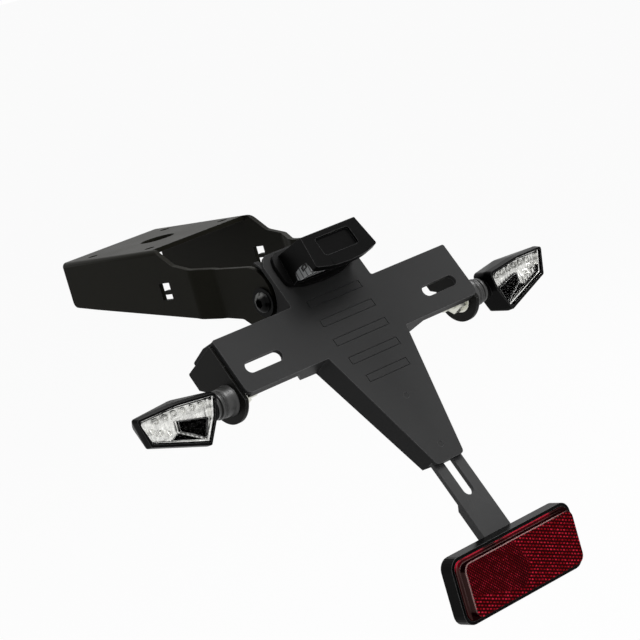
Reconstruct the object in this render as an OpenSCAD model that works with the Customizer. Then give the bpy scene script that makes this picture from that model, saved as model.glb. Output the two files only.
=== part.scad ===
// Tail tidy for a sports motorcycle.
// A folded steel bracket bolts under the tail. A moulded number plate holder with two arms, a neck
// and a tapering tongue is screwed between the bracket's cheeks and can be tilted there. The holder
// carries the plate light, an indicator on a steel flange at each arm's end, and a slotted strip
// with the rear reflector, which slides up and down under the tongue.
// Frame: X to the right, Y forward, Z up. The origin is the centre of the four tail bolts, on the
// top face of the bracket's web. Sizes are in millimetres.

/* [Tail bracket] */
// Thickness of the bracket's steel sheet
sheet_t = 3; // [2:0.5:4]
// Distance between the tail bolts, across and along
bolt_pitch = 60; // [50:1:62]
// Diameter of the tail bolt holes
bolt_hole_d = 6.5; // [5.5:0.1:8.5]
// Length of the web that lies under the tail
web_len = 96; // [85:1:120]
// Width of the bracket over its front part
bracket_w = 81; // [78:1:90]
// Thread diameter of the two tilt screws
pivot_d = 8; // [6:1:8]

/* [Plate holder] */
// How far the plate leans back from upright, in degrees
plate_lean = 30; // [20:1:40]
// Width over the two arms
arm_span = 190; // [180:1:220]
// Height of the arms
arm_h = 37.3; // [34:0.1:42]
// Width of the neck
neck_w = 65.2; // [64:0.1:70]
// Length from the arms' top edge to the tongue's lower end
tongue_len = 122.2; // [116:0.1:135]
// Width of the tongue's lower end
tongue_end_w = 21.8; // [20:0.1:26]
// Thickness of the holder's face and walls
wall_t = 3; // [2.4:0.1:3.4]
// Length and width of the two number plate slots
slot_len = 28; // [20:1:32]
slot_w = 7.5; // [6:0.5:8.5]
// Distance between the slots' centres
slot_pitch = 144.6; // [140:0.1:150]
// Number of ribs marked on the face
mark_count = 5; // [0:1:5]

/* [Plate light] */
// Width of the light's housing
lamp_w = 49; // [44:1:52]
// How far the light stands out from the holder's face
lamp_out = 29; // [24:1:34]

/* [Indicators] */
// Thread diameter of the indicator's stud
stud_d = 8; // [6:1:10]
// Radius of the flange's round end
lobe_r = 17; // [16:0.5:20]
// Length of the rubber stem
stem_len = 14.5; // [11:0.1:16]
// Length of the indicator's lens
signal_len = 51.2; // [46:0.1:58]
// Number of lamps in each indicator
led_count = 7; // [3:1:9]

/* [Reflector] */
// Width of the slotted strip
strip_w = 22.6; // [20:0.1:26]
// Thickness of the slotted strip
strip_t = 3; // [2:0.5:4]
// Width and height of the reflector's lens
reflector_w = 90.8; // [80:0.1:105]
reflector_h = 32.1; // [28:0.1:40]
// Distance of the lens's middle below the arms' top edge, as assembled
reflector_drop = 169.8; // [165:0.1:185]

/* [Hidden] */
$fn = 64;
e = 0.01;

// Gaps between pieces that move on each other
gap = 0.3;
pivot_fit = 0.05;

// Place of the holder's frame: the middle of the arms' top edge on the face
face_y = -150;
face_z = -46;
tilt = 90 - plate_lean;
function lift(y, z) = [y * cos(tilt) - z * sin(tilt), y * sin(tilt) + z * cos(tilt)];

// Holder
arm_x = arm_span / 2;
neck_x = neck_w / 2;
tongue_x = neck_x - 0.5;
end_x = tongue_end_w / 2;
neck_top = 36;
spine_z = 17;
skirt_z = 7;
taper = (tongue_x - end_x) / (tongue_len - arm_h);
face_back = -wall_t;
// Ribs and walls are rooted this deep in the face
root = -wall_t + 1;

// Pivot and cheeks, measured level from the holder's frame
pivot = [22.6, 5.1];
cheek_c = [32.3, 9.3];
cheek_r = 17.5;
rim_r = 21.2;
cheek_x = neck_x + 0.2;
cheek_in = cheek_x - sheet_t;
ear_x = cheek_in - gap;
ear_t = 3.5;
ear_in = ear_x - ear_t;
front_x = bracket_w / 2;
front_in = front_x - sheet_t;
web_z = -face_z;
web_y0 = -face_y - web_len / 2 + 2;
web_y1 = -face_y + web_len / 2 + 2;
head_r = 8.8;

// Indicator, with its stud's axis measured level from the holder's frame
stud_y = -2.2;
stud_z = -34.8;
flange_t = 2.5;
flange_x = arm_x - 0.7;
stem_x = flange_x + flange_t;
flange_top = face_back - gap;
lobe = [-28, -16.4];
sweep = atan(0.1);
lens_u = 17.3;
lens_v = -11;
lens_t = 1.6;
tray_back = 4.4;
k = signal_len / 51.2;
tab_y0 = -3.2;
tab_y1 = -16;
tab_x = arm_x - 33;
tab_screw_x = [tab_x + 6, arm_x - 12];
tab_mid = (tab_y0 + tab_y1) / 2;

// Strip and reflector
strip_f = face_back - gap;
strip_b = strip_f - strip_t;
strip_slot_w = 7.4;
screw_y = [45.4 - tongue_len, 10.6 - tongue_len];
strip_top = screw_y[0] + 12.8;
strip_slot_top = screw_y[0] + 4.3;
boss_r = 3.4;
washer_t = 1;
base_w = reflector_w + 9;
base_h = reflector_h + 8;
base_d = 9;
lens_d = 6;
leg_t = 4;
refl_z = -reflector_drop;
// Where the strip's front face meets the reflector's back
meet = (refl_z + base_h / 2 - 0.65 - strip_f * cos(tilt)) / sin(tilt);
base_back = meet * cos(tilt) - strip_f * sin(tilt);
lens_y = base_back - base_d - lens_d;
// Where the strip gets thicker, on the way from the tongue's end to the reflector
strip_foot = -tongue_len + 0.52 * (meet + tongue_len);
strip_slot_end = strip_foot + 2.6;

// Smoothed outlines: each point carries the radius of its corner
function unit(v) = v / norm(v);
function turn(a) = a > 180 ? a - 360 : a < -180 ? a + 360 : a;
function fillet(a, p, b, r, n) =
    let (u = unit(a - p), v = unit(b - p), h = acos(u * v) / 2)
    let (c = p + unit(u + v) * r / sin(h), s = p + u * r / tan(h) - c, t = p + v * r / tan(h) - c)
    let (a0 = atan2(s[1], s[0]), d = turn(atan2(t[1], t[0]) - a0))
    [for (i = [0:n]) c + r * [cos(a0 + d * i / n), sin(a0 + d * i / n)]];
function xy(p) = [p[0], p[1]];
function rounded(pts, n = 5) = [
    for (i = [0:len(pts) - 1])
        let (m = len(pts), p = pts[i], r = radius(p))
        each r > 0 ? fillet(xy(pts[(i + m - 1) % m]), xy(p), xy(pts[(i + 1) % m]), r, n) : [xy(p)]
];
function radius(p) = len(p) > 2 ? p[2] : 0;
function both_sides(pts) = concat(pts, [for (i = [len(pts) - 1:-1:0]) [-pts[i][0], pts[i][1], radius(pts[i])]]);
function box_pts(x, y, r) = both_sides([[x, y, r], [x, -y, r]]);

// Level frame at the middle of the arms' top edge
module level() {
    translate([0, face_y, face_z]) children();
}

// Frame of the holder's face: X to the right, Y up the face, Z out of the face
module at_face() {
    level() rotate([tilt, 0, 0]) children();
}

// A side view, drawn in Y and Z, extruded from x0 to x1
module side_view(x0, x1) {
    translate([x0, 0, 0]) rotate([90, 0, 90]) linear_extrude(x1 - x0) children();
}

module mirrored() {
    children();
    mirror([1, 0, 0]) children();
}

// Hexagonal prism across flats af, standing on Z = 0
module hex_prism(af, h) {
    cylinder(r = af / 2 / cos(30), h = h, $fn = 6);
}

// ---------- Tail bracket

module cheek_outline() {
    translate(cheek_c) circle(cheek_r);
    polygon(rounded([
        [cheek_c[0], cheek_c[1] + cheek_r], [59, 28, 20], [75, 31.2, 12], [web_y0 - 14, 35, 8],
        [web_y0, web_z, 6], [web_y1, web_z], [web_y1, 17, 4], [177, 13.8, 60], [79, 1.3, 40],
        [64, -1.8, 30], [46, -3.9, 6], [40.5, -7.6, 6], [cheek_c[0], cheek_c[1] - cheek_r]
    ]));
}

// The cheeks seen from above, stepped in towards the rear
module cheek_plan() {
    mirrored() polygon(rounded([
        [cheek_in, 5], [cheek_x, 5], [cheek_x, 61, 5], [front_x, 75, 8], [front_x, web_y1],
        [front_in, web_y1], [front_in, 76, 5], [cheek_in, 62, 8]
    ]));
}

// Slits that free a tongue for a cable tie
module tie_window() {
    translate([-e - bracket_w, 0, 0]) rotate([90, 0, 90]) linear_extrude(2 * bracket_w + 2 * e) {
        translate([97, 20.4]) square([10.2, 4.8]);
        translate([97, 14.6]) square([10.2, 3.4]);
        translate([103.6, 14.6]) square([3.6, 10.6]);
    }
}

module mounting_bracket() color([0.13, 0.13, 0.12]) difference() {
    level() difference() {
        union() {
            intersection() {
                translate([0, 0, -20]) linear_extrude(100) cheek_plan();
                side_view(-front_x, front_x) cheek_outline();
            }
            translate([0, web_y1, 0]) rotate([90, 0, 0]) linear_extrude(web_len - 4) polygon(rounded([
                [-front_x, web_z - 6], [-front_x, web_z, sheet_t], [front_x, web_z, sheet_t],
                [front_x, web_z - 6], [front_in, web_z - 6], [front_in, web_z - sheet_t],
                [-front_in, web_z - sheet_t], [-front_in, web_z - 6]
            ]));
        }
        tie_window();
        translate([0, pivot[0], pivot[1]]) rotate([0, 90, 0])
            cylinder(d = pivot_d + 0.4, h = 2 * bracket_w, center = true);
        // The fold's outer corner is round
        mirrored() translate([front_x - sheet_t, 0, web_z - sheet_t]) rotate([-90, 0, 0]) difference() {
            translate([0, -sheet_t - 1, 0]) cube([sheet_t + 1, sheet_t + 1, 260]);
            translate([0, 0, -1]) cylinder(r = sheet_t, h = 262);
        }
    }
    for (x = [-1, 1], y = [-1, 1])
        translate([x * bolt_pitch / 2, y * bolt_pitch / 2, -sheet_t - 1]) cylinder(d = bolt_hole_d, h = sheet_t + 2);
    translate([0, 0, -sheet_t - 1]) cylinder(d = 22, h = sheet_t + 2);
}

// Button head screw with a flange, its head's seat on Z = 0 and its shank below
module flanged_button(d, flange_r, shank) {
    difference() {
        union() {
            cylinder(r = flange_r, h = 1.4);
            rotate_extrude() polygon(concat(
                [[0, 0.5]], [for (a = [0:10:90]) [d * 0.8 * cos(a), 1.4 + d * 0.4 * sin(a)]]));
        }
        translate([0, 0, 1.6]) hex_prism(d * 0.62, d);
    }
    translate([0, 0, -shank]) cylinder(d = d, h = shank + 0.7);
}

module pivot_screws() color([0.1, 0.1, 0.1]) level() mirrored()
    translate([cheek_x, pivot[0], pivot[1]]) rotate([0, 90, 0])
        flanged_button(pivot_d, head_r, cheek_x - ear_in + 9);

module pivot_nuts() color([0.62, 0.63, 0.62]) level() mirrored()
    translate([ear_in - gap - 7, pivot[0], pivot[1]]) rotate([0, 90, 0]) difference() {
        union() {
            translate([0, 0, 5.6]) cylinder(d = pivot_d * 2.1, h = 1.4);
            hex_prism(pivot_d * 1.62, 6.2);
        }
        translate([0, 0, -1]) cylinder(d = pivot_d, h = 9);
    }

// ---------- Number plate holder

module holder_outline() {
    polygon(rounded(both_sides([
        [neck_x - 5, neck_top, 3], [neck_x, neck_top - 6, 3], [neck_x, 0, 1.5], [arm_x, 0, 1.2],
        [arm_x, -arm_h, 4], [tongue_x, -arm_h, 1], [end_x, -tongue_len, 3]
    ])));
}

// Room between the tongue's walls, open at both ends
module tongue_outline(d) {
    s = d * norm([1, taper]);
    polygon([
        [tongue_x - s, -arm_h + 4], [tongue_x - s, -arm_h], [end_x - s - 2 * taper, -tongue_len - 2],
        [s + 2 * taper - end_x, -tongue_len - 2], [s - tongue_x, -arm_h], [s - tongue_x, -arm_h + 4]
    ]);
}

// Walls of the tongue, deepest under the arms
module tongue_walls() {
    intersection() {
        translate([0, 0, -spine_z]) linear_extrude(spine_z + root) difference() {
            intersection() {
                holder_outline();
                translate([-tongue_x, -tongue_len - 1]) square([2 * tongue_x, tongue_len - arm_h + 2]);
            }
            tongue_outline(wall_t - 0.5);
        }
        side_view(-neck_x, neck_x) polygon([
            [-arm_h + 1, 0], [-arm_h + 1, -spine_z], [-arm_h, -spine_z], [4.2 - tongue_len, -13],
            [-tongue_len - 1, 3]
        ]);
    }
}

// Openings that let the strip pass through the walls at the tongue's lower end
module strip_notches() {
    mirrored() translate([0, -tongue_len - 1, strip_b - gap])
        cube([strip_w / 2 + gap, 16, strip_t + 2 * gap]);
}

module arm_skirts() {
    mirrored() {
        translate([tongue_x - 1, -arm_h, -skirt_z]) cube([arm_x - tongue_x - 3, wall_t - 0.5, skirt_z + root]);
        translate([neck_x - 1, -wall_t + 0.5, -skirt_z + 2]) cube([arm_x - neck_x - 1, wall_t - 0.5, skirt_z - 2 + root]);
        // Deep wall at the arm's outer end, which leans out past the flange's edge
        side_view(arm_x - 11, arm_x - 2) polygon(rounded([
            [wall_t - 5.5, root], [0, root], [2.5, -13.5, 6], [1.7, -28, 1], [-0.4, -28.3, 0.6],
            [-0.4, -13, 4], [wall_t - 5.5, -skirt_z + 1]
        ]));
        // The deep wall under the arm ends on a slope
        translate([0, wall_t - 0.5 - arm_h, 0]) rotate([90, 0, 0]) linear_extrude(wall_t - 0.5)
            polygon([[tongue_x - 1, root], [tongue_x - 1, -spine_z], [45.7, 1 - spine_z], [51.5, -skirt_z], [51.5, root]]);
    }
}

// Neck walls and ears. The outer layer leaves room for the cheeks, the inner one reaches the pivot.
module neck_walls() {
    mirrored() {
        side_view(ear_x, neck_x) difference() {
            polygon([
                lift(neck_top - 6, root), [22, 29], [30, 25], [32, -8],
                lift(-8, -spine_z), lift(-arm_h, -spine_z), lift(-arm_h, root)
            ]);
            translate(cheek_c) circle(rim_r);
            translate([cheek_c[0] - 4, cheek_c[1] - rim_r]) square([40, 2 * rim_r]);
        }
        side_view(ear_in, ear_x) polygon(rounded([
            lift(neck_top - 3, root), [30, 25, 4], [37, 15, 8], [37, -3, 8], [29, -8, 6],
            lift(-8, -spine_z), lift(-14, -12), lift(-14, root)
        ]));
    }
    // Top wall, and the cross rib under the arms
    side_view(-ear_in - 1, ear_in + 1) polygon([
        lift(neck_top - 3, root), lift(neck_top - 5.4, root),
        lift(neck_top - 5.4, face_back - 9), lift(neck_top - 3, face_back - 6)
    ]);
    side_view(-ear_x - 1, ear_x + 1) polygon([lift(-31, root), lift(-33.4, root), lift(-33.4, -12), lift(-31, -12)]);
}

// Thin rectangles pressed into the face
module face_marks() {
    for (i = [0:1:mark_count - 1]) {
        hw = i == 4 ? 16.8 : i == 3 ? 20 : 21.6;
        translate([0, -2.6 - 13.9 * i, -0.45]) linear_extrude(1) difference() {
            square([2 * hw, 5.4], center = true);
            square([2 * hw - 1.3, 4.1], center = true);
        }
    }
    for (y = screw_y) translate([0, y, -0.3]) cylinder(r = 2, h = 1);
}

module plate_slots() {
    mirrored() translate([slot_pitch / 2, -23.3, -8]) linear_extrude(10) {
        square([slot_len - slot_w, slot_w], center = true);
        translate([(slot_len - slot_w) / 2, 0]) circle(d = slot_w);
        translate([(slot_w - slot_len) / 2, 0]) circle(d = slot_w);
    }
}

module plate_holder() color([0.2, 0.2, 0.205]) difference() {
    union() {
        at_face() {
            translate([0, 0, face_back]) linear_extrude(wall_t) holder_outline();
            difference() {
                tongue_walls();
                strip_notches();
            }
            arm_skirts();
            for (y = screw_y) translate([0, y, strip_b - gap]) cylinder(r = boss_r, h = strip_t + 2 * gap + 0.5);
            mirrored() for (x = tab_screw_x) translate([x, tab_mid, face_back - flange_t])
                cylinder(r = 3, h = flange_t + 0.5);
        }
        level() neck_walls();
    }
    at_face() {
        plate_slots();
        face_marks();
        for (y = screw_y) translate([0, y, strip_b - 1]) cylinder(r = 1.7, h = strip_t + 3);
        mirrored() {
            translate([15, 24, -8]) cylinder(r = 2.2, h = 10);
            for (x = tab_screw_x) translate([x, tab_mid, face_back - flange_t - 1]) cylinder(r = 1.3, h = flange_t + 2.6);
        }
        translate([0, 19, -8]) cylinder(r = 4, h = 10);
    }
    level() translate([0, pivot[0], pivot[1]]) rotate([0, 90, 0])
        cylinder(r = pivot_d / 2 + pivot_fit, h = 2 * neck_w, center = true);
}

// ---------- Plate light

lamp_top = 31.5;
gasket_t = 3;
lamp_x = lamp_w / 2;

module lamp_outline(d) {
    polygon(rounded(both_sides([
        [lamp_x - 3.4 - d, 33 - d], [lamp_x - d, 6.4 + d, 1.4], [lamp_x * 0.5, 3.4 + d, 40], [0, 2.7 + d]
    ])));
}

module lamp_gasket() color([0.05, 0.05, 0.05]) at_face() difference() {
    linear_extrude(gasket_t) polygon(rounded(both_sides([
        [lamp_x + 0.5, 34, 5], [lamp_x + 3, 27, 4], [lamp_x + 3, 12.4, 5], [lamp_x * 0.6, 8.6, 20], [0, 7.6]
    ])));
    translate([0, 0, -1]) {
        mirrored() translate([15, 24, 0]) cylinder(r = 2.2, h = 6);
        translate([0, 19, 0]) cylinder(r = 4, h = 6);
    }
}

// Side views of the light. The lens fills the window, and the hood's rim overhangs it.
lamp_window = [[10.4, lamp_out - 5.4], [14, 22.2], [15.6, 14.3], [15.4, 9], [11.2, 7.8]];
lamp_side = concat(
    [[11, gasket_t], [lamp_top, gasket_t], [lamp_top - 0.7, 8, 6], [27, lamp_out, 1], [2, lamp_out, 0.6],
    [2, lamp_out - 4, 1]], lamp_window
);

module lamp_housing() color([0.08, 0.08, 0.085]) at_face() {
    difference() {
        intersection() {
            translate([0, 0, gasket_t]) linear_extrude(lamp_out) lamp_outline(0);
            side_view(-lamp_w, lamp_w) polygon(rounded(lamp_side));
        }
        // Bare recess in the outer face
        translate([0, 17, lamp_out - 1.8]) linear_extrude(3) polygon(rounded(box_pts(13.6, 6.2, 2)));
    }
    mirrored() translate([15, 24, -8]) cylinder(r = 2, h = 8 + gasket_t + 1);
}

module lamp_lens() color([0.85, 0.88, 0.9, 0.6]) at_face() difference() {
    intersection() {
        linear_extrude(lamp_out) lamp_outline(0.5);
        side_view(-lamp_w, lamp_w) polygon(rounded(concat(
            [for (i = [4:-1:0]) lamp_window[i]], [[8.6, lamp_out - 5.6, 1], [7, 21.4, 1.5], [9.8, 9.6, 1.5]]
        )));
    }
    translate([4 - lamp_x, 11.4, 11]) cube([lamp_w - 8, 6, 9]);
}

module lamp_board() color([0.1, 0.3, 0.15]) at_face() {
    translate([5 - lamp_x, 14, 11.5]) cube([lamp_w - 10, 0.7, 6]);
    for (x = [-14, 0, 14]) translate([x - 1.8, 12.4, 13]) cube([3.6, 1.7, 3]);
}

module lamp_nuts() color([0.7, 0.7, 0.68]) at_face() mirrored() translate([15, 24, face_back]) difference() {
    union() {
        translate([0, 0, -0.8]) cylinder(r = 4.5, h = 0.8);
        translate([0, 0, -4]) hex_prism(7, 3.3);
    }
    translate([0, 0, -5]) cylinder(r = 2.05, h = 6);
}

// ---------- Indicators, drawn for the right side

// Frame of the stud: X outwards, Z up
module at_stud() {
    level() translate([stem_x, stud_y, stud_z]) children();
}

module signal_bracket() {
    at_face() difference() {
        union() {
            side_view(flange_x, stem_x) intersection() {
                union() {
                    translate(lobe) circle(lobe_r);
                    polygon(rounded([
                        [tab_y0 + 1.6, flange_top], [tab_y0 + 1.5, -33.1, 1.2], [lobe[0] + 14.7, -33.3], lobe,
                        [lobe[0] - 11, flange_top]
                    ]));
                }
                translate([lobe[0] - 30, flange_top - 50]) square([60, 50]);
            }
            translate([tab_x, tab_y1, face_back - flange_t]) cube([stem_x - tab_x, tab_y0 - tab_y1, flange_t]);
        }
        at_stud_hole();
        for (x = tab_screw_x) translate([x, tab_mid, face_back - flange_t - 1]) cylinder(r = 3.1, h = flange_t + 2);
    }
}

module at_stud_hole() {
    p = [stud_y * cos(tilt) + stud_z * sin(tilt), stud_z * cos(tilt) - stud_y * sin(tilt)];
    translate([flange_x - 1, p[0], p[1]]) rotate([0, 90, 0]) cylinder(d = stud_d, h = flange_t + 2);
}

module signal_bracket_right() color([0.1, 0.1, 0.1]) signal_bracket();
module signal_bracket_left() color([0.1, 0.1, 0.1]) mirror([1, 0, 0]) signal_bracket();

module signal_bracket_screws() color([0.12, 0.12, 0.12]) at_face() mirrored()
    for (x = tab_screw_x) translate([x, tab_mid, face_back - flange_t]) mirror([0, 0, 1]) {
        difference() {
            cylinder(r1 = 4.6, r2 = 3.6, h = 2.4);
            translate([0, 0, 1]) hex_prism(2.5, 3);
        }
        translate([0, 0, -flange_t - 1.4]) cylinder(r = 1.25, h = flange_t + 1.5);
    }

module signal_studs() color([0.7, 0.7, 0.68]) mirrored() at_stud() rotate([0, 90, 0]) translate([0, 0, -18.5])
    cylinder(d = stud_d - 0.1, h = 18.5 + stem_len - 2);

module signal_washers() color([0.75, 0.75, 0.73]) mirrored() at_stud() rotate([0, 90, 0])
    translate([0, 0, -flange_t - 1.6]) difference() {
        cylinder(r = stud_d / 2 + 4.4, h = 1.6);
        translate([0, 0, -1]) cylinder(d = stud_d, h = 4);
    }

module signal_nuts() color([0.7, 0.7, 0.66]) mirrored() at_stud() rotate([0, 90, 0])
    translate([0, 0, -flange_t - 1.6 - 6.5]) difference() {
        hex_prism(13, 6.5);
        translate([0, 0, -1]) cylinder(d = stud_d, h = 9);
    }

module stem() at_stud() rotate([0, 90, 0]) rotate_extrude() polygon([
    [stud_d / 2, 0], [9.4, 0], [9, 1.2], [8.4, stem_len - 3], [7, stem_len - 2.6],
    [7, stem_len - 1.6], [7.8, stem_len - 1.2], [7.8, stem_len], [0, stem_len], [0, stem_len - 2], [stud_d / 2, stem_len - 2]
]);

module stem_right() color([0.09, 0.09, 0.09]) stem();
module stem_left() color([0.09, 0.09, 0.09]) mirror([1, 0, 0]) stem();

// Frame of the lens: drawn in X and Z, extruded towards the rear
module at_lens(h, back = 0) {
    at_stud() translate([lens_u, lens_v, 0]) rotate([0, 0, sweep]) translate([0, back, 0])
        rotate([90, 0, 0]) linear_extrude(h) children();
}

// Outline of the indicator's lens, larger by d
function lens_pts(d) = [
    [-d, 8.6 + d, 2], [26 * k, 11 + d, 60], [51.2 * k + d, 10.2 + d, 1.5], [46.8 * k + d, -4.2 - d, 1.5],
    [10.8 * k, -15.6 - 1.3 * d, 1.2], [3.2 - d, -2.6, 4]
];

module signal_housing() {
    difference() {
        union() {
            hull() {
                at_lens(1, 0.2) polygon(rounded(lens_pts(1.3), 4));
                at_lens(1, 4.5) polygon(rounded(lens_pts(1.9), 4));
                at_stud() translate([lens_u - 2.5, 0, 0]) rotate([90, 0, 0]) translate([0, 0, -4]) linear_extrude(1)
                    polygon(rounded([[2, 9.6, 3], [23 * k, 12.9, 20], [52.6 * k, 9.4, 3], [49 * k, 0, 3], [14 * k, -16.6, 3], [8.6, -16.2, 2], [2, -3.4, 3]], 4));
            }
            at_stud() translate([stem_len, 0, 0]) rotate([0, 90, 0]) cylinder(r = 7.2, h = 9);
        }
        at_lens(3, 1.4) polygon(rounded(lens_pts(0), 4));
        at_lens(12, tray_back) polygon(rounded(lens_pts(-1.2), 4));
    }
}

module signal_housing_right() color([0.06, 0.06, 0.06]) signal_housing();
module signal_housing_left() color([0.06, 0.06, 0.06]) mirror([1, 0, 0]) signal_housing();

module signal_lens() at_lens(lens_t + 0.4, 1.4) polygon(rounded(lens_pts(-0.05), 4));

module signal_lens_right() color([0.85, 0.87, 0.88, 0.5]) signal_lens();
module signal_lens_left() color([0.85, 0.87, 0.88, 0.5]) mirror([1, 0, 0]) signal_lens();

// Bright tray behind the lens, with a row of lamps
module signal_tray() {
    at_lens(1.2, tray_back) polygon(rounded(lens_pts(-1.3), 4));
    for (i = [0:1:led_count - 1])
        at_lens(2, tray_back) translate([(6 + i * 37 / max(1, led_count - 1)) * k, 4.6 + i * 0.3]) circle(r = 1.7);
}

module signal_tray_right() color([0.8, 0.8, 0.78]) signal_tray();
module signal_tray_left() color([0.8, 0.8, 0.78]) mirror([1, 0, 0]) signal_tray();

// Dark shade in the lens's lower inner corner
module signal_shade() at_lens(tray_back - 2.8, tray_back - 1.2)
    polygon(rounded([[6.5 * k, -1.9], [26 * k, 2.4], [26.5 * k, -3.9], [10.4 * k, -12]], 2));

module signal_shade_right() color([0.03, 0.03, 0.03]) signal_shade();
module signal_shade_left() color([0.03, 0.03, 0.03]) mirror([1, 0, 0]) signal_shade();

// ---------- Reflector and its strip

// Screws through the strip's slot, from behind
module strip_screws() color([0.6, 0.6, 0.58]) at_face() for (y = screw_y)
    translate([0, y, strip_b - gap - washer_t]) mirror([0, 0, 1]) {
        difference() {
            cylinder(r1 = 3.8, r2 = 3.2, h = 2.6);
            translate([0, 0, 1]) hex_prism(2.5, 3);
        }
        translate([0, 0, -strip_t - washer_t - 1]) cylinder(r = 1.65, h = strip_t + washer_t + 1.1);
    }

module strip_washers() color([0.72, 0.72, 0.7]) at_face() for (y = screw_y)
    translate([0, y, strip_b - gap - washer_t]) difference() {
        cylinder(r = 6.5, h = washer_t);
        translate([0, 0, -1]) cylinder(r = 1.7, h = washer_t + 2);
    }

// Side view of the strip, level, with its upright foot behind the reflector
module strip_side() {
    foot_b = strip_b - 2.8;
    // Where the thicker part's back meets the foot's back
    turn_in = (base_back + leg_t + foot_b * sin(tilt)) / cos(tilt);
    polygon([
        lift(strip_top, strip_f), lift(strip_top, strip_b), lift(strip_foot + 1, strip_b),
        lift(strip_foot - 2, foot_b), lift(turn_in, foot_b), [base_back + leg_t, refl_z - 12],
        [base_back, refl_z - 12], [base_back, meet * sin(tilt) + strip_f * cos(tilt)]
    ]);
}

module reflector_strip() color([0.17, 0.17, 0.17]) difference() {
    level() difference() {
        side_view(-strip_w / 2, strip_w / 2) strip_side();
        translate([0, 0, refl_z]) rotate([90, 0, 0]) cylinder(r = 2.7, h = 400, center = true);
    }
    at_face() translate([0, 0, strip_b - 4]) linear_extrude(12) {
        translate([-strip_slot_w / 2, strip_slot_end + strip_slot_w / 2])
            square([strip_slot_w, strip_slot_top - strip_slot_end - strip_slot_w]);
        translate([0, strip_slot_end + strip_slot_w / 2]) circle(d = strip_slot_w);
        translate([0, strip_slot_top - strip_slot_w / 2]) circle(d = strip_slot_w);
    }
}

// A rounded block that faces the rear, from depth y0 behind the lens's front to y1
module rear_block(x, z, r, y0, y1) {
    level() translate([0, lens_y + y1, refl_z]) rotate([90, 0, 0]) linear_extrude(y1 - y0)
        polygon(rounded(box_pts(x, z, r), 6));
}

module reflector_base() color([0.03, 0.03, 0.03]) {
    difference() {
        rear_block(base_w / 2, base_h / 2, 7, lens_d, lens_d + base_d);
        rear_block(base_w / 2 - 2, base_h / 2 - 2, 5.5, lens_d - 1, lens_d + 1.5);
    }
    level() translate([0, base_back - 1, refl_z]) rotate([-90, 0, 0]) cylinder(r = 2.5, h = 12);
}

module reflector_lens() color([0.55, 0.02, 0.06, 0.9]) {
    rear_block(base_w / 2 - 2.2, base_h / 2 - 2.2, 5.3, lens_d - 1, lens_d + 1.5);
    rear_block(reflector_w / 2, reflector_h / 2, 5, 0, lens_d - 0.5);
}

module reflector_nut() color([0.7, 0.7, 0.68]) level() translate([0, base_back + leg_t, refl_z]) rotate([-90, 0, 0])
    difference() {
        union() {
            cylinder(r = 6, h = 1);
            hex_prism(8, 5);
        }
        translate([0, 0, -1]) cylinder(r = 2.55, h = 8);
    }

mounting_bracket();
pivot_screws();
pivot_nuts();
plate_holder();
lamp_gasket();
lamp_housing();
lamp_lens();
lamp_board();
lamp_nuts();
signal_bracket_left();
signal_bracket_right();
signal_bracket_screws();
signal_studs();
signal_washers();
signal_nuts();
stem_left();
signal_housing_left();
signal_lens_left();
signal_tray_left();
signal_shade_left();
stem_right();
signal_housing_right();
signal_lens_right();
signal_tray_right();
signal_shade_right();
strip_screws();
strip_washers();
reflector_strip();
reflector_base();
reflector_lens();
reflector_nut();
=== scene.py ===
# %% [markdown]
# # A tail tidy
# The CAD model brings every solid at its real size and place: a folded bracket with four bolt
# holes, the number plate holder with its light and indicators, and the reflector on a slotted
# strip. This lesson gives them soft edges and finishes, models the optics that make the indicators
# sparkle, and sets up the camera, the light and the floor. Lengths are in metres: X is right, Y
# forward, Z up.

# %% Load the solids
import bpy
from math import atan, pi, radians
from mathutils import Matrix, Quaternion, Vector


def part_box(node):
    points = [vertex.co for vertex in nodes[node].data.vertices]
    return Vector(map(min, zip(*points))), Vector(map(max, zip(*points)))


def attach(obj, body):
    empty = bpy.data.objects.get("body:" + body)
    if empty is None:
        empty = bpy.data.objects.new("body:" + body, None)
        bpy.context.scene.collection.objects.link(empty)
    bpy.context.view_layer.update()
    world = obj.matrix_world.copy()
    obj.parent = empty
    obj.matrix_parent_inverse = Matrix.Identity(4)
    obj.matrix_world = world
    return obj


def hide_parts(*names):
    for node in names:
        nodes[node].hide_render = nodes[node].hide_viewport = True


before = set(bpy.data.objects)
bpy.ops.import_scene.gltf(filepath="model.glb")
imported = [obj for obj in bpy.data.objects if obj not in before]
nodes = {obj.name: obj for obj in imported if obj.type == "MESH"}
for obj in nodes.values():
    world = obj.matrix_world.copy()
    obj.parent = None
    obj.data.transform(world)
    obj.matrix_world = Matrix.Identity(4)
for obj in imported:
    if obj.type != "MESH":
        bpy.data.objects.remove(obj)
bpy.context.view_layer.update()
scene = bpy.context.scene
MM = 0.001
print(len(nodes), "solids loaded")

# %% [markdown]
# ## The camera
# The photographer stood behind and to the left, a little above the object, with a long lens held
# at a slant. A direction and a roll about it describe this better than three angles do, so the
# camera is turned by a quaternion.

# %% Camera
camera_data = bpy.data.cameras.new("camera")
camera_data.lens = 146.25
camera_data.sensor_width = 36
camera_data.clip_start = 0.05
camera_data.clip_end = 1200
camera = bpy.data.objects.new("camera", camera_data)
scene.collection.objects.link(camera)
camera.location = (-0.9691, -1.3060, 0.1670)
aim = Vector((0.62944, 0.76257, -0.14929))
roll = Quaternion((0, 0, 1), radians(-16.075))
camera.rotation_mode = "QUATERNION"
camera.rotation_quaternion = aim.to_track_quat("-Z", "Y") @ roll
scene.camera = camera
scene.view_settings.view_transform = "Standard"
print("camera at", [round(v, 3) for v in camera.location])

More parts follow.
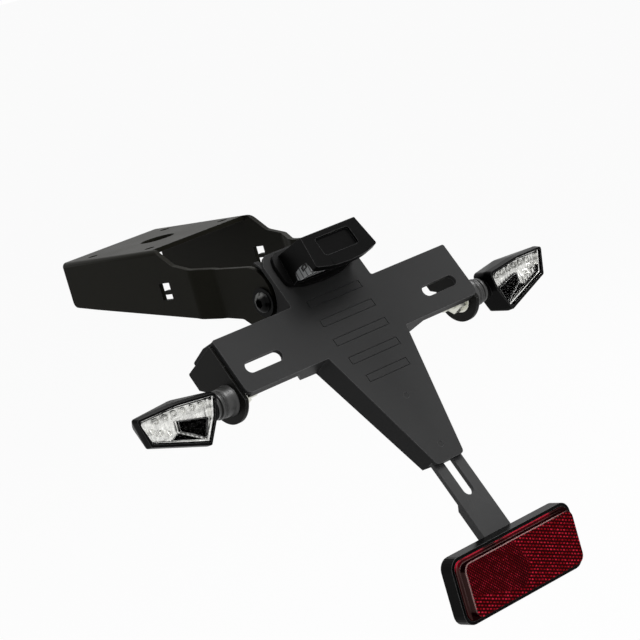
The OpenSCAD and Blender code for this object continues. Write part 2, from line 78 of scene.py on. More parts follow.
# %% [markdown]
# ## Writing finishes as formulas
# A procedural material is a graph of nodes, and a graph wired by hand is slow to read. Here one
# output of a node is wrapped in a small class, so that `a * 0.5 + 0.2` adds the Math nodes. Every
# other node comes from one method, `node`, which sets the options first and then the sockets.


# %% Signals
class Signal:
    """One output of a shader node. Arithmetic on it adds Math nodes."""

    def __init__(self, finish, out):
        self.finish = finish
        self.out = out

    def maths(self, operation, *values):
        return self.finish.node("ShaderNodeMath", {"operation": operation}, dict(enumerate(values)))

    def __add__(self, other):
        return self.maths("ADD", self, other)

    def __sub__(self, other):
        return self.maths("SUBTRACT", self, other)

    def __rsub__(self, other):
        return self.maths("SUBTRACT", other, self)

    def __mul__(self, other):
        return self.maths("MULTIPLY", self, other)

    __radd__ = __add__
    __rmul__ = __mul__

    def wave(self, period, shift=0.0):
        """Runs from 0 to 1 and back, once in each period of this signal."""
        turns = self.maths("MULTIPLY_ADD", self, 2 * pi / period, shift)
        return self.maths("SINE", turns) * 0.5 + 0.5

    def size(self):
        return self.maths("ABSOLUTE", self)

    def above(self, low, high):
        """0 where this is below low, 1 where it is above high, and smooth in between."""
        return self.finish.node("ShaderNodeMapRange", {"interpolation_type": "SMOOTHSTEP"},
                                {"Value": self, "From Min": low, "From Max": high})

    def between(self, low, high, soft=0.2 * MM):
        """1 from low to high and 0 beyond, over two soft ends."""
        return self.above(low - soft, low + soft) * (1 - self.above(high - soft, high + soft))

    def sibling(self, output):
        """Another output of the same node."""
        return Signal(self.finish, self.out.node.outputs[output])


print("arithmetic ready")


# %% Finishes
def times(colour, factor):
    return tuple(min(1.0, v * factor) for v in colour)


class Finish:
    """A procedural material: one Principled shader and the formulas that feed it."""

    def __init__(self, name, colour, rough, **fixed):
        self.material = bpy.data.materials.new(name)
        self.material.use_nodes = True
        self.material.diffuse_color = (*colour, 1)
        self.tree = self.material.node_tree
        self.shader = self.tree.nodes["Principled BSDF"]
        self.shader.inputs["Base Color"].default_value = (*colour, 1)
        self.shader.inputs["Roughness"].default_value = rough
        for socket, value in fixed.items():
            self.shader.inputs[socket.replace("_", " ")].default_value = value
        self.place = self.node("ShaderNodeTexCoord", out="Object")

    def node(self, kind, options=None, sockets=None, out=0):
        made = self.tree.nodes.new(kind)
        for option, value in (options or {}).items():
            setattr(made, option, value)
        for socket, value in (sockets or {}).items():
            if isinstance(value, Signal):
                self.tree.links.new(value.out, made.inputs[socket])
            else:
                made.inputs[socket].default_value = value
        return Signal(self, made.outputs[out])

    def feed(self, socket, signal):
        self.tree.links.new(signal.out, self.shader.inputs[socket])

    def axes(self):
        """The three coordinates of the surface, in metres."""
        split = self.node("ShaderNodeSeparateXYZ", {}, {0: self.place})
        return [split.sibling(axis) for axis in "XYZ"]

    def noise(self, per_metre, detail=3.0, stretch=None):
        place = self.place
        if stretch:
            place = self.node("ShaderNodeMapping", {}, {"Vector": place, "Scale": stretch})
        return self.node("ShaderNodeTexNoise", {}, {
            "Vector": place, "Scale": per_metre, "Detail": detail, "Roughness": 0.55})

    def edges(self, radius):
        """1 along sharp edges, where a rounded normal turns 10 to 33 degrees from the plain one."""
        rounded = self.node("ShaderNodeBevel", {"samples": 6}, {"Radius": radius})
        plain = self.node("ShaderNodeNewGeometry", out="Normal")
        cosine = self.node("ShaderNodeVectorMath", {"operation": "DOT_PRODUCT"},
                           {0: rounded, 1: plain}, out="Value")
        return (1 - cosine).above(0.015, 0.16)

    def blend(self, amount, first, second):
        """A colour between two colours, or between two colour signals."""
        first, second = (c if isinstance(c, Signal) else (*c, 1) for c in (first, second))
        # A Mix node has sockets for every kind of data: 6 and 7 are its colours, and 2 their mix.
        return self.node("ShaderNodeMix", {"data_type": "RGBA"},
                         {0: amount, 6: first, 7: second}, out=2)

    def mottled(self, amount, colour, dark, light):
        """A colour that runs from a darker to a lighter shade of itself."""
        return self.blend(amount, times(colour, dark), times(colour, light))

    def colour_with_painted_edge_highlights(self, skin, light, edge):
        """Feeds Base Color with the skin, and with a painted highlight as bright as edge where
        light is 1.
        """
        self.feed("Base Color", self.blend(light, skin, (edge, edge, edge)))

    def bump(self, height, depth, strength=1.0):
        self.feed("Normal", self.node("ShaderNodeBump", {}, {
            "Height": height, "Distance": depth, "Strength": strength}))


print("finishes ready")

# %% [markdown]
# ## Moulded plastics
# Nearly all of the object is black or dark grey, so its finishes differ less in colour than in
# their skin. The holder has a fine grain from its mould, on its face alone. Its sides are smooth,
# and a painted shade makes them darker, so the colour follows the height above the face. Another
# painted shade darkens the face round the middle of the arms, and fades towards the arms' ends and
# the tongue's tip. Edges are what the eye reads on black things, so each finish has a painted
# highlight along them, a lighter line found by comparing the plain normal with a rounded one. It is
# weaker along the marks that are pressed into the face.

# %% Directions of the holder's face
SIN_LEAN, COS_LEAN = 0.5, 0.866
UP_AT_ORIGIN, OUT_AT_ORIGIN = 114.8 * MM, -106.9 * MM


def face_axes(finish):
    """Across, up and out of the holder's face, which leans back by 30 degrees."""
    across, y, z = finish.axes()
    up = y * SIN_LEAN + z * COS_LEAN + UP_AT_ORIGIN
    out = y * -COS_LEAN + z * SIN_LEAN + OUT_AT_ORIGIN
    return across, up, out


# %% Moulded plastics
def moulded(name, colour, rough, shine, edge, grain=0.02 * MM, wall_shade=1.0):
    f = Finish(name, colour, rough, Specular_IOR_Level=shine)
    fine, broad = f.noise(4200, 2), f.noise(26, 4)
    across, up, out = face_axes(f)
    # Painted shade round the arms' middle fades from 45 to 120 mm out, faster sideways than down.
    away_from_painted_shade = (across.size() + (20 * MM - up) * 0.8).above(45 * MM, 120 * MM)
    face = f.mottled(broad * 0.7 + fine * 0.3, colour, 0.8, 1.22)
    face = f.blend((1 - away_from_painted_shade) * 0.4, face, times(colour, 0.35))
    # Below the face the colour is scaled darker: a painted shade.
    wall = f.mottled(broad, colour, 0.8 * wall_shade, 1.2 * wall_shade)
    skin = f.blend(out.above(-1.0 * MM, -0.6 * MM), wall, face)
    marked = 1 - across.size().above(22.5 * MM, 23.5 * MM)
    marked = marked * up.above(-63 * MM, -62 * MM) * (1 - up.above(0, 1 * MM))
    # A painted highlight along the edges, weaker on the pressed marks.
    f.colour_with_painted_edge_highlights(skin, f.edges(0.5 * MM) * (1 - marked * 0.7), edge)
    f.feed("Roughness", broad * 0.16 + fine * 0.1 + (rough - 0.13))
    f.bump(fine, grain)
    return f


holder_plastic = moulded("holder_plastic", (0.038, 0.038, 0.038), 0.5, 0.07, edge=0.10, wall_shade=0.43)
lamp_plastic = moulded("lamp_plastic", (0.002, 0.002, 0.002), 0.36, 0.04,
                       edge=0.08, grain=0.012 * MM)
print("moulded plastics made")

# %% [markdown]
# ## Coats, gloss and rubber
# Powder coat on the folded steel has small soft lumps, because it melts and flows in an oven. The
# indicators' housings and the reflector's base are polished plastic, and rubber is dull with a
# fine tooth. One function makes each kind, and its colour, roughness and shine are set piece by
# piece.


# %% Powder coats
def coated(name, colour, rough, shine, edge):
    f = Finish(name, colour, rough, Specular_IOR_Level=shine)
    lumps, broad = f.noise(1500, 2), f.noise(30, 3)
    # A painted highlight along the edges.
    f.colour_with_painted_edge_highlights(f.mottled(broad, colour, 0.8, 1.25), f.edges(0.6 * MM), edge)
    f.feed("Roughness", lumps * 0.12 + broad * 0.12 + (rough - 0.12))
    f.bump(lumps, 0.05 * MM, 0.6)
    return f


bracket_coat = coated("bracket_coat", (0.0100, 0.0095, 0.0065), 0.42, 0.04, edge=0.03)
flange_coat = coated("flange_coat", (0.008, 0.008, 0.007), 0.42, 0.07, edge=0.08)
strip_coat = coated("strip_coat", (0.060, 0.060, 0.060), 0.45, 0.08, edge=0.09)
print("powder coats made")


# %% Gloss
def polished(name, colour, rough, shine):
    """A glossy skin whose Base Color is still to be fed, and its slow noise."""
    f = Finish(name, colour, rough, Specular_IOR_Level=shine)
    broad = f.noise(45, 3)
    f.feed("Roughness", broad * 0.1 + (rough - 0.03))
    f.bump(f.noise(260, 1), 0.012 * MM, 0.4)
    return f, broad


def glossy(name, colour, rough, shine, edge):
    f, broad = polished(name, colour, rough, shine)
    # A painted highlight along the edges.
    f.colour_with_painted_edge_highlights(f.mottled(broad, colour, 0.8, 1.3), f.edges(0.6 * MM), edge)
    return f


signal_plastic = glossy("signal_plastic", (0.002, 0.002, 0.002), 0.28, 0.035, edge=0.06)
base_plastic = glossy("base_plastic", (0.0015, 0.0015, 0.0015), 0.25, 0.035, edge=0.14)
shade_plastic = glossy("shade_plastic", (0.0005, 0.0005, 0.0005), 0.2, 0.02, edge=0.3)
print("glossy plastics made")


# %% Rubber
def rubbery(name, colour, shine):
    f = Finish(name, colour, 0.5, Specular_IOR_Level=shine)
    fine, broad = f.noise(2600, 3), f.noise(60, 3)
    f.feed("Base Color", f.mottled(broad, colour, 0.75, 1.35))
    f.feed("Roughness", fine * 0.15 + 0.3)
    f.bump(fine, 0.03 * MM)
    return f


gasket_rubber = rubbery("gasket_rubber", (0.003, 0.003, 0.003), shine=0.1)
stem_rubber = rubbery("stem_rubber", (0.026, 0.026, 0.025), shine=0.6)
print("rubber made")

# %% [markdown]
# ## Painted highlights on the screw heads
# The tilt screws are blackened steel. Their domes get a painted highlight on the upper side, round
# the hexagon socket: a mask in the finish, made of a ring about the screws' axis, its upper side,
# and a noise that breaks it up.

# %% Black screws
SQUARE_MM = 1e6  # square millimetres in a square metre
black_screw, _ = polished("black_screw", (0.001, 0.001, 0.001), 0.2, 0.05)
low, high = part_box("pivot_screws")
hub = (low + high) / 2
_, y, z = black_screw.axes()
y, z = y - hub.y, z - hub.z
from_hub = (y * y + z * z) * SQUARE_MM  # the distance squared
dome = from_hub.above(8, 13) * (1 - from_hub.above(34, 46))
# A painted highlight on the upper side of the domes.
painted_dome_highlight = dome * (z + y * 0.5).above(1 * MM, 4 * MM) * black_screw.noise(240, 1).above(0.3, 0.5)
black_screw.feed("Base Color", black_screw.blend(painted_dome_highlight, (0.002, 0.002, 0.002), (0.25, 0.25, 0.24)))
print("screws turn about y", round(hub.y, 4), "z", round(hub.z, 4))

# %% [markdown]
# ## Zinc plate, with and without a thread
# Nuts, washers and studs are zinc plated: bright, a little yellow, with a cloudy sheen. A thread
# is far too fine to model on a stud that is half hidden, so a wave along its axis does it in
# relief.


# %% Zinc
def zinc(name, thread=None):
    f = Finish(name, (0.66, 0.66, 0.60), 0.3, Metallic=1.0)
    cloud, turned = f.noise(260, 4), f.noise(1200, 2, (0.08, 1, 1))
    f.feed("Base Color", f.blend(cloud, (0.52, 0.52, 0.47), (0.80, 0.80, 0.72)))
    f.feed("Roughness", cloud * 0.2 + turned * 0.1 + 0.16)
    if thread:
        f.bump(f.axes()[0].wave(thread), 0.6 * MM)
    else:
        f.bump(turned, 0.02 * MM, 0.6)
    return f


zinc_plate = zinc("zinc_plate")
zinc_thread = zinc("zinc_thread", thread=1.25 * MM)
print("zinc plate made")

# %% [markdown]
# ## Clear covers
# The indicators' covers are clear plastic with soft flutes inside. Their index is set lower than
# the plastic's own, because in an all-white studio a full reflection would hide what lies behind.

# %% Clear covers
fluted = Finish("fluted_clear", (0.97, 0.97, 0.96), 0.03, IOR=1.06, Transmission_Weight=1.0)
speckle = fluted.noise(420, 1)
fluted.feed("Roughness", speckle * 0.05 + 0.01)
fluted.bump(fluted.axes()[0].wave(3.4 * MM) * 0.7 + speckle * 0.3, 0.04 * MM, 0.5)
print("clear covers made")

# %% [markdown]
# ## The plate light's lens
# It is frosted with prisms, so it is made half clear and half milky. A dark block shows through its
# end, with a painted glint in its middle, and a painted highlight lies along the lens's edges. Thin
# ridges cross it. They lie too deep in it to be worth modelling at this size, so they are drawn
# along the directions of the holder's face.

# %% Prismatic lens
prisms = Finish("prismatic_clear", (0.75, 0.76, 0.76), 0.12, IOR=1.2, Transmission_Weight=0.3)
_, up, out = face_axes(prisms)
block = out.between(15.4 * MM, 21.4 * MM) * up.between(11.6 * MM, 14.6 * MM)
# The glint is a painted highlight.
glint = out.between(17.2 * MM, 19.6 * MM) * up.between(12.5 * MM, 13.7 * MM)
ridge = out.wave(4.2 * MM).above(0.8, 0.9)
# Lighter along the edges: a painted highlight.
clear_part = prisms.blend(prisms.edges(0.8 * MM), (0.48, 0.49, 0.49), (0.95, 0.95, 0.95))
clear_part = prisms.blend(ridge * 0.8, clear_part, (0.08, 0.08, 0.08))
dark_part = (block - glint).above(0.2, 0.8)
prisms.feed("Base Color", prisms.blend(dark_part, clear_part, (0.01, 0.01, 0.01)))
prisms.bump(block + ridge, 0.3 * MM, 0.6)
print("prismatic lens made")

# %% [markdown]
# ## Metallised tray and circuit board
# The tray behind the indicators' covers is plastic with a thin bright metal film, and shows
# whatever the cover lets in. Where the film is thin it looks dull, in bands, and stripes of painted
# shade run up it, as far apart as the flutes. The plate light's board is a pale sheet dotted with
# pads, for which cells of random size will do.

# %% Bright tray
bright_tray = Finish("bright_tray", (0.66, 0.66, 0.64), 0.16, Metallic=0.8)
cloud, grooves = bright_tray.noise(420, 3), bright_tray.axes()[0].wave(2.6 * MM)
bands = bright_tray.noise(300, 2, (0.12, 0.12, 1))
silver = bright_tray.blend(cloud.above(0.35, 0.65), (0.72, 0.72, 0.71), (0.96, 0.96, 0.94))
# The bands are dull film, and the grooves' stripes are painted shade.
dull_and_groove_shade = bands.above(0.48, 0.62) * 0.4 + grooves.above(0.8, 1.0) * 0.15
bright_tray.feed("Base Color", bright_tray.blend(dull_and_groove_shade, silver, (0.20, 0.20, 0.19)))
bright_tray.feed("Roughness", cloud * 0.15 + 0.1)
bright_tray.bump(cloud, 0.08 * MM)
print("bright tray made")

# %% Circuit board
board = Finish("circuit_board", (0.25, 0.26, 0.25), 0.45)
pads = board.node("ShaderNodeTexVoronoi", {}, {"Vector": board.place, "Scale": 260.0})
board.feed("Base Color", board.blend(pads.above(0.3, 0.5), (0.5, 0.5, 0.48), (0.2, 0.22, 0.2)))
print("circuit board made")

# %% [markdown]
# ## The red reflector
# Behind the flat front lie hundreds of small prisms in slanted rows. They show as bright dashes in
# the right half and as a finer, darker weave in most of the left half. Each prism could be a small
# pyramid, but they are under 2 mm and show as colour alone, so both are products of waves along
# the rows and across them. The surface's depth tells the front from the plain dark sides and from
# the ledge behind them. The near end's side is lighter, a painted lit side, the ledge's upper part
# has painted light in streaks, and the front's upper and left edges have a painted highlight, the
# brightest line of all.

# %% Places on the lens
red = Finish("red_lens", (0.25, 0.002, 0.008), 0.12, Specular_IOR_Level=0.012)
x, y, z = red.axes()
height = z + 215.8 * MM
depth = y * -1
front = depth.above(247.8 * MM, 248.0 * MM)
side = depth.above(242.8 * MM, 243.1 * MM) * (1 - front)
# The left end, whose side gets a painted lit colour below.
painted_lit_end = (x * -1).above(45.2 * MM, 45.4 * MM)
right_half = (x + height.size() * 0.55 - 4 * MM).above(-4 * MM, 3 * MM)
low_corner = 1 - (height + x * 0.25).above(-18 * MM, -10 * MM)
rows_here = (right_half + low_corner).above(0.2, 0.8)
print("reflector's places named")

# %% Prisms
COS_SLANT, SIN_SLANT = 0.92, 0.38  # the rows climb at 22 degrees
across_rows = height * COS_SLANT + x * SIN_SLANT
along_rows = x * COS_SLANT - height * SIN_SLANT
stagger = across_rows.wave(3.8 * MM).above(0.45, 0.55) * pi
dashes = along_rows.wave(2.6 * MM, stagger).above(0.1, 0.6)
prism_rows = across_rows.wave(1.9 * MM).above(0.35, 0.9) * dashes
weave = (height - x).wave(2.1 * MM).above(0.3, 0.9) * (height + x).wave(2.1 * MM).above(0.3, 0.9)
patches = red.noise(70, 3)
cells = prism_rows * rows_here + weave * (1 - rows_here) * (patches * 0.7 + 0.25)
lively = red.noise(330, 2).above(0.45, 0.65)
print("prisms in rows 1.9 mm apart")

# %% Red colours
# Painted light in streaks on the ledge's upper part.
painted_light_streaks = red.noise(60, 3, (1, 0.3, 0.3)).above(0.45, 0.60) * height.above(12 * MM, 17 * MM)
ledge = red.blend(painted_light_streaks, (0.04, 0.0003, 0.001), (0.80, 0.004, 0.040))
deep = red.blend(patches, (0.010, 0.0001, 0.0006), (0.040, 0.0003, 0.0015))
# The sides are dark, but for a painted lit side at the near end.
wall = red.blend(painted_lit_end, (0.006, 0.0003, 0.0006), (0.060, 0.028, 0.026))
skin = red.blend(side, red.blend(front, ledge, deep), wall)
lit_cells = red.blend(lively, (0.25, 0.002, 0.006), (0.66, 0.018, 0.044))
faces = red.blend(cells * front, skin, lit_cells)
rim = red.edges(1.3 * MM) * depth.above(242.5 * MM, 245.0 * MM)
# A painted highlight on the front's upper and left edges.
painted_rim_highlight = rim * 2 * (height - x * 0.33).above(0, 12 * MM)
red.feed("Base Color", red.blend(painted_rim_highlight, faces, (0.60, 0.38, 0.36)))
red.bump(cells * front, 0.15 * MM, 0.5)
print("red lens made")

# %% [markdown]
# ## Dressing the solids
# Each solid keeps its mesh and takes its finish. A moulded or folded edge is never razor sharp,
# and the narrow bright line along it is what tells the eye so, which a bevel modifier gives. A
# solid arrives as loose triangles, and a bevel finds no edge between them, so a weld modifier
# joins them first. The holder's mesh has slivers that stop a bevel, and its soft edges are only
# the painted highlight in its finish.

# %% Dressed solids
finishes = {
    "mounting_bracket": bracket_coat, "pivot_screws": black_screw, "pivot_nuts": zinc_plate,
    "plate_holder": holder_plastic,
    "lamp_gasket": gasket_rubber, "lamp_housing": lamp_plastic, "lamp_lens": prisms,
    "lamp_board": board, "lamp_nuts": zinc_plate,
    "signal_bracket_left": flange_coat, "signal_bracket_right": flange_coat,
    "signal_bracket_screws": black_screw,
    "signal_studs": zinc_thread, "signal_washers": zinc_plate, "signal_nuts": zinc_plate,
    "stem_left": stem_rubber, "stem_right": stem_rubber,
    "signal_housing_left": signal_plastic, "signal_housing_right": signal_plastic,
    "signal_lens_left": fluted, "signal_lens_right": fluted,
    "signal_tray_left": bright_tray, "signal_tray_right": bright_tray,
    "signal_shade_left": shade_plastic, "signal_shade_right": shade_plastic,
    "strip_screws": zinc_plate, "strip_washers": zinc_plate,
    "reflector_strip": strip_coat, "reflector_base": base_plastic,
    "reflector_lens": red, "reflector_nut": zinc_plate,
}
for name, finish in finishes.items():
    solid = nodes[name]
    solid.data.materials.clear()
    solid.data.materials.append(finish.material)
print(len(finishes), "solids finished")

# %% Soft edges
edge_width = {
    "mounting_bracket": 0.3, "lamp_housing": 0.7, "lamp_gasket": 0.5,
    "reflector_base": 0.6, "reflector_lens": 0.5, "reflector_strip": 0.35,
    "signal_bracket_left": 0.35, "signal_bracket_right": 0.35,
    "signal_lens_left": 0.2, "signal_lens_right": 0.2,
    "signal_nuts": 0.3, "signal_washers": 0.2, "pivot_screws": 0.2,
}
for name, width in edge_width.items():
    joined = nodes[name].modifiers.new("joined", "WELD")
    joined.merge_threshold = 0.002 * MM
    bevel = nodes[name].modifiers.new("soft_edges", "BEVEL")
    bevel.width = width * MM
    bevel.segments = 2
    bevel.limit_method = "ANGLE"
    bevel.angle_limit = radians(38)
    bevel.harden_normals = True
print(len(edge_width), "solids with soft edges")

# %% [markdown]
# ## The optics of the indicators
# Behind each clear cover sits a metallised tray with upright flutes and a row of small cups, one
# for each lamp. It could be a bump in the material, but flutes are what makes the cover glitter as
# the view changes, so they are modelled: a grid is folded into flutes and cut to the cover's
# outline with bisect. The slivers that the cuts leave are merged, and the rim is drawn forward to
# the cover and folded out into the flange that the cover is welded to. The rim is selected as
# edges, because its corners alone would take an inner edge with them. X is along the cover, Y up
# it, Z out of it.


# %% Ways to select and shape
def only(piece):
    """Select this piece alone and make it active."""
    bpy.ops.object.select_all(action="DESELECT")
    piece.select_set(True)
    bpy.context.view_layer.objects.active = piece


def edit(piece):
    only(piece)
    bpy.ops.object.mode_set(mode="EDIT")


def done():
    bpy.ops.object.mode_set(mode="OBJECT")


def added(name):
    """Name what an operator has just added."""
    piece = bpy.context.object
    piece.name = piece.data.name = name
    return piece


def pick(piece, kind, test):
    """In edit mode, select the corners (VERT) or faces (FACE) whose place passes the test."""
    bpy.ops.mesh.select_mode(type=kind)
    bpy.ops.mesh.select_all(action="DESELECT")
    done()
    for corner in piece.data.vertices if kind == "VERT" else ():
        corner.select = test(corner.co)
    for face in piece.data.polygons if kind == "FACE" else ():
        face.select = test(face.center)
    bpy.ops.object.mode_set(mode="EDIT")


def face_outwards():
    bpy.ops.mesh.select_all(action="SELECT")
    bpy.ops.mesh.normals_make_consistent(inside=False)


def cut(corners):
    """Bisect the mesh in edit mode down to the outline through the corners, which are in mm."""
    for a, b in zip(corners, corners[1:] + corners[:1]):
        outwards = Vector((a[1] - b[1], b[0] - a[0], 0)).normalized()
        bpy.ops.mesh.select_all(action="SELECT")
        bpy.ops.mesh.bisect(plane_co=(a[0] * MM, a[1] * MM, 0), plane_no=outwards, clear_outer=True)
    bpy.ops.mesh.select_all(action="SELECT")


print("helpers ready")

# %% Grid folded into flutes
TRAY_BACK = -3.7 * MM
TRAY_MIDDLE, TRAY_LENGTH, COLUMNS = 25.9 * MM, 59.8 * MM, 46
bpy.ops.object.select_all(action="DESELECT")
bpy.ops.mesh.primitive_grid_add(x_subdivisions=COLUMNS, y_subdivisions=20, size=1)
optics = added("signal_optics_right")
optics.scale = (TRAY_LENGTH, 30 * MM, 1)
optics.location = (TRAY_MIDDLE, -2 * MM, TRAY_BACK)
bpy.ops.object.transform_apply(location=True, rotation=False, scale=True)
edit(optics)
column = TRAY_LENGTH / COLUMNS
first = TRAY_MIDDLE - TRAY_LENGTH / 2
pick(optics, "VERT", lambda place: round((place.x - first) / column) % 2 == 1)
bpy.ops.transform.translate(value=(0, 0, 0.2 * MM))
print("flutes", round(2 * column / MM, 1), "mm apart")

# %% Tray cut to the cover, with its rim and flange
outline = [(1.6, 8.0), (27, 10.2), (49.6, 9.2), (45.8, -3.2), (11.4, -13.6), (4.4, -2.0)]
cut(outline)
bpy.ops.mesh.remove_doubles(threshold=0.15 * MM)
bpy.ops.mesh.select_mode(type="EDGE")
bpy.ops.mesh.select_all(action="DESELECT")
bpy.ops.mesh.select_non_manifold()
bpy.ops.mesh.extrude_edges_move(TRANSFORM_OT_translate={"value": (0, 0, 2.1 * MM)})
bpy.ops.transform.resize(value=(1, 1, 0))
bpy.ops.mesh.extrude_edges_move(TRANSFORM_OT_translate={"value": (0, 0, 0.3 * MM)})
bpy.ops.transform.resize(value=(1.045, 1.082, 1))
done()
wall = optics.modifiers.new("wall", "SOLIDIFY")
wall.thickness = 0.5 * MM
wall.offset = -1
bpy.ops.object.modifier_apply(modifier="wall")
print("fluted tray", len(optics.data.polygons), "faces")

# %% [markdown]
# ### A cup for each lamp
# A round thing can be spun, or grown from a ring of edges that is extruded and resized step by
# step. Growing keeps the steps readable as a list, so it makes the cup here and the rubber stem
# below. The cup goes up its outer wall, over the rim, down inside and up over the lamp's dome.


# %% One cup
def grow(radius, steps):
    """Extrude the selected ring by each step's rise and resize it to that step's radius, in mm."""
    for ring, rise in steps:
        bpy.ops.mesh.extrude_edges_move(TRANSFORM_OT_translate={"value": (0, 0, rise * MM)})
        bpy.ops.transform.resize(value=(ring / radius, ring / radius, 1))
        radius = ring
    bpy.ops.mesh.edge_face_add()
    face_outwards()


def ring_of(name, sides, radius):
    """A filled circle, open for edits with all of it selected. Its radius is in mm."""
    bpy.ops.object.select_all(action="DESELECT")
    bpy.ops.mesh.primitive_circle_add(vertices=sides, radius=radius * MM, fill_type="NGON",
                                      location=(0, 0, 0))
    piece = added(name)
    edit(piece)
    bpy.ops.mesh.select_all(action="SELECT")
    return piece


cup = ring_of("lamp_cup", 14, 2.1)
grow(2.1, ((1.95, 1.5), (1.75, 0.1), (1.2, -1.2), (1.0, -0.1), (0.9, 0.5), (0.45, 0.35)))
done()
print("cup", len(cup.data.polygons), "faces")

# %% A row of cups on the tray
CUP_FOOT = TRAY_BACK - 0.2 * MM
lamps = ((8, 5.6), (14.2, 6.2), (20.4, 6.6), (26.6, 6.9), (32.8, 6.8), (39, 6.6),
         (43.6, 2.0), (38.4, -0.4), (33.2, -2.4))
copies = []
for along, up in lamps:
    only(cup)
    bpy.ops.object.duplicate(linked=False)
    copy = bpy.context.object
    copy.location = (along * MM, up * MM, CUP_FOOT)
    copies.append(copy)
bpy.data.objects.remove(cup)
only(optics)
for copy in copies:
    copy.select_set(True)
bpy.ops.object.join()
print("tray with", len(lamps), "cups")

# %% [markdown]
# ### A framed shade
# A black shade covers the lower inner corner of the tray, with a thin sill below it. Each is a
# plane cut to its outline and raised. The shade's front is inset and pushed back, which leaves a
# frame round a face that stays black, and its finish paints a highlight along the frame's edges.


# %% Shade and sill
def block_of(name, corners, front):
    """A block from the tray's back to its front, with an outline through the corners, in mm."""
    bpy.ops.object.select_all(action="DESELECT")
    bpy.ops.mesh.primitive_plane_add(size=80 * MM, location=(20 * MM, -5 * MM, TRAY_BACK))
    piece = added(name)
    bpy.ops.object.transform_apply(location=True, rotation=False, scale=False)
    edit(piece)
    cut(corners)
    bpy.ops.mesh.extrude_region_move(TRANSFORM_OT_translate={"value": (0, 0, front - TRAY_BACK)})
    face_outwards()
    done()
    return piece


SHADE_FRONT = -1.6 * MM
sill = block_of("signal_sill", [(27.2, -4.4), (32.4, -7.0), (12.2, -13.1)], -3.1 * MM)
shades = block_of("signal_shades_right", [(6.5, -1.9), (26, 2.4), (26.5, -3.9), (11, -12.9)],
                  SHADE_FRONT)
edit(shades)
pick(shades, "FACE", lambda place: place.z > SHADE_FRONT - 0.1 * MM)
bpy.ops.mesh.inset(thickness=0.6 * MM, depth=0)
bpy.ops.transform.translate(value=(0, 0, -0.8 * MM))
done()
sill.select_set(True)
bpy.ops.object.join()
print("shade and sill", len(shades.data.polygons), "faces")

# %% [markdown]
# ## Grooved rubber stems
# Each indicator hangs on a soft stem that lets it give way in a fall. It has two shallow grooves
# near its outer end, a waist that clips into the housing, and a collar. The solid has the plain
# outline, and this piece takes its place, ring by ring, along Z.

# %% Stem
profile = [(9.35, 0.2), (9.35, 0.5), (8.95, 0.45), (8.8, 2.0), (8.65, 2.6), (8.5, 1.8)]
for outer in (8.45, 8.4):
    profile += [(outer - 0.1, 0.12), (outer - 0.3, 0.15), (outer - 0.3, 0.4),
                (outer - 0.1, 0.15), (outer, 0.75)]
profile += [(8.1, 0.6), (7.0, 0.25), (7.0, 0.9), (7.6, 0.2), (7.75, 0.3), (7.75, 1.4)]
stem = ring_of("rubber_stem_right", 64, 9.2)
grow(9.2, profile)
done()
bpy.ops.object.shade_smooth_by_angle(angle=radians(50))
print("stem length", round(sum(rise for _, rise in profile), 2), "mm")

# %% [markdown]
# ## Into place, and the mirror images
# The tray and the shade are stood up and swept back like the cover, and the stem is laid along X.
# Each is then copied and mirrored for the left side. A mirrored mesh is inside out, so its normals
# are recalculated.

# %% The right side in place
STUD = Vector((96.8, -152.2, -80.8)) * MM
SWEEP = atan(0.1)
for piece in (optics, shades):
    piece.rotation_euler = (pi / 2, 0, SWEEP)
    piece.location = STUD + Vector((17.3, -11, 0)) * MM
stem.rotation_euler = (0, pi / 2, 0)
stem.location = STUD
print("stud at", [round(v, 4) for v in STUD])


# %% Both sides
def mirror_image(piece):
    """A copy with its own mesh on the other side of the object."""
    only(piece)
    bpy.ops.object.duplicate(linked=False)
    image = added(piece.name.replace("right", "left"))
    image.scale = (-1, 1, 1)
    bpy.ops.object.transform_apply(location=True, rotation=True, scale=True)
    edit(image)
    face_outwards()
    done()
    return image


for piece, finish, solid, slot in ((optics, bright_tray, "signal_tray", "bright_tray"),
                                   (shades, shade_plastic, "signal_shade", "shade_plastic"),
                                   (stem, stem_rubber, "stem", "stem_rubber")):
    only(piece)
    bpy.ops.object.transform_apply(location=True, rotation=True, scale=True)
    piece.data.materials.append(finish.material)
    for made, hand in ((piece, "right"), (mirror_image(piece), "left")):
        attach(made, "holder")
        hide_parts(f"{solid}_{hand}")
        reach = [round(end(v.co.x for v in made.data.vertices), 4) for end in (min, max)]

# %% [markdown]
# ## Floor, light and background
# The part hangs in the air over a plain pale floor. The background is white for the camera, and
# for the rays that leave glass and gloss, so that these show it too. The lamps are large, so that
# the black parts get broad, soft reflections.

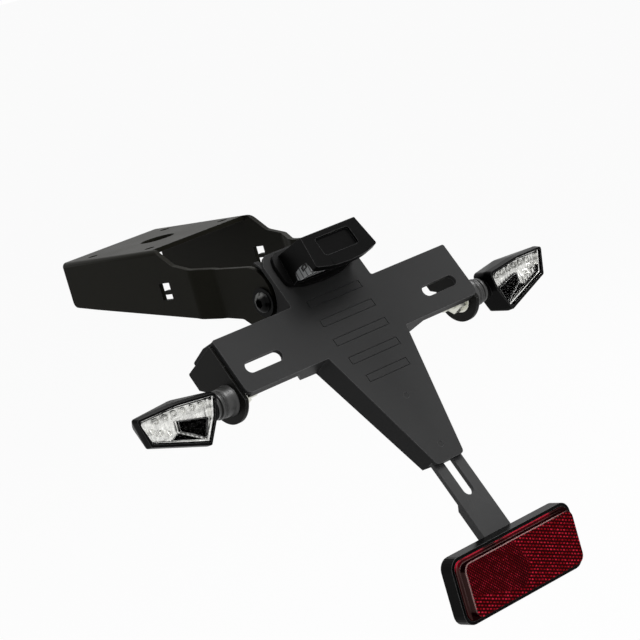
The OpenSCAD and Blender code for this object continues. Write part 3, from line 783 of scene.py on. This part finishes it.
# %% Floor
GLOW = 0.94  # share of plain white in the floor that the camera sees, the rest shows its shadow
bpy.ops.object.select_all(action="DESELECT")
bpy.ops.mesh.primitive_grid_add(x_subdivisions=8, y_subdivisions=8, size=1600,
                                location=(0, 0, -0.45))
floor = added("floor")
paint = Finish("floor_paint", (0.9, 0.9, 0.9), 0.8)
paint.feed("Base Color", paint.blend(paint.noise(3), (0.88, 0.88, 0.88), (0.92, 0.92, 0.92)))
camera_ray = paint.node("ShaderNodeLightPath", out="Is Camera Ray")
seen = camera_ray + camera_ray.sibling("Is Glossy Ray") + camera_ray.sibling("Is Transmission Ray")
shaded = Signal(paint, paint.shader.outputs[0])
white = paint.node("ShaderNodeEmission", {}, {"Color": (1, 1, 1, 1), "Strength": 1.0})
pale = paint.node("ShaderNodeMixShader", {}, {0: seen * GLOW, 1: shaded, 2: white})
paint.tree.links.new(pale.out, paint.tree.nodes["Material Output"].inputs["Surface"])
floor.data.materials.append(paint.material)
print("floor at z", floor.location.z)


# %% Lamps
def softbox(name, place, size, power):
    """A large rectangular lamp that faces the middle of the object."""
    data = bpy.data.lights.new(name, "AREA")
    data.shape = "RECTANGLE"
    data.size, data.size_y = size
    data.energy = power
    lamp = bpy.data.objects.new(name, data)
    scene.collection.objects.link(lamp)
    lamp.location = place
    towards = Vector((0, -0.15, -0.08)) - Vector(place)
    lamp.rotation_euler = towards.to_track_quat("-Z", "Y").to_euler()
    print(name, "of", power, "watts")


softbox("key", (0.5, -1.2, 1.9), (1.4, 1.0), 42)
softbox("left_fill", (-2.0, 0.3, 0.6), (1.0, 1.6), 1.5)
softbox("right_fill", (1.7, 0.2, 0.9), (0.8, 1.4), 8)

# %% Background
world = bpy.data.worlds.new("studio")
scene.world = world
world.use_nodes = True
graph = world.node_tree
air = graph.nodes["Background"]
air.inputs["Color"].default_value = (0.95, 0.97, 1.0, 1)
air.inputs["Strength"].default_value = 0.24
paper = graph.nodes.new("ShaderNodeBackground")
paper.inputs["Color"].default_value = (1, 1, 1, 1)
ray_kind = graph.nodes.new("ShaderNodeLightPath")
total = ray_kind.outputs["Is Camera Ray"]
for kind in ("Is Glossy Ray", "Is Transmission Ray"):
    plus = graph.nodes.new("ShaderNodeMath")
    plus.use_clamp = True
    graph.links.new(total, plus.inputs[0])
    graph.links.new(ray_kind.outputs[kind], plus.inputs[1])
    total = plus.outputs[0]
choose = graph.nodes.new("ShaderNodeMixShader")
graph.links.new(total, choose.inputs[0])
graph.links.new(air.outputs[0], choose.inputs[1])
graph.links.new(paper.outputs[0], choose.inputs[2])
graph.links.new(choose.outputs[0], graph.nodes["World Output"].inputs["Surface"])
print("background white, its light", air.inputs["Strength"].default_value)
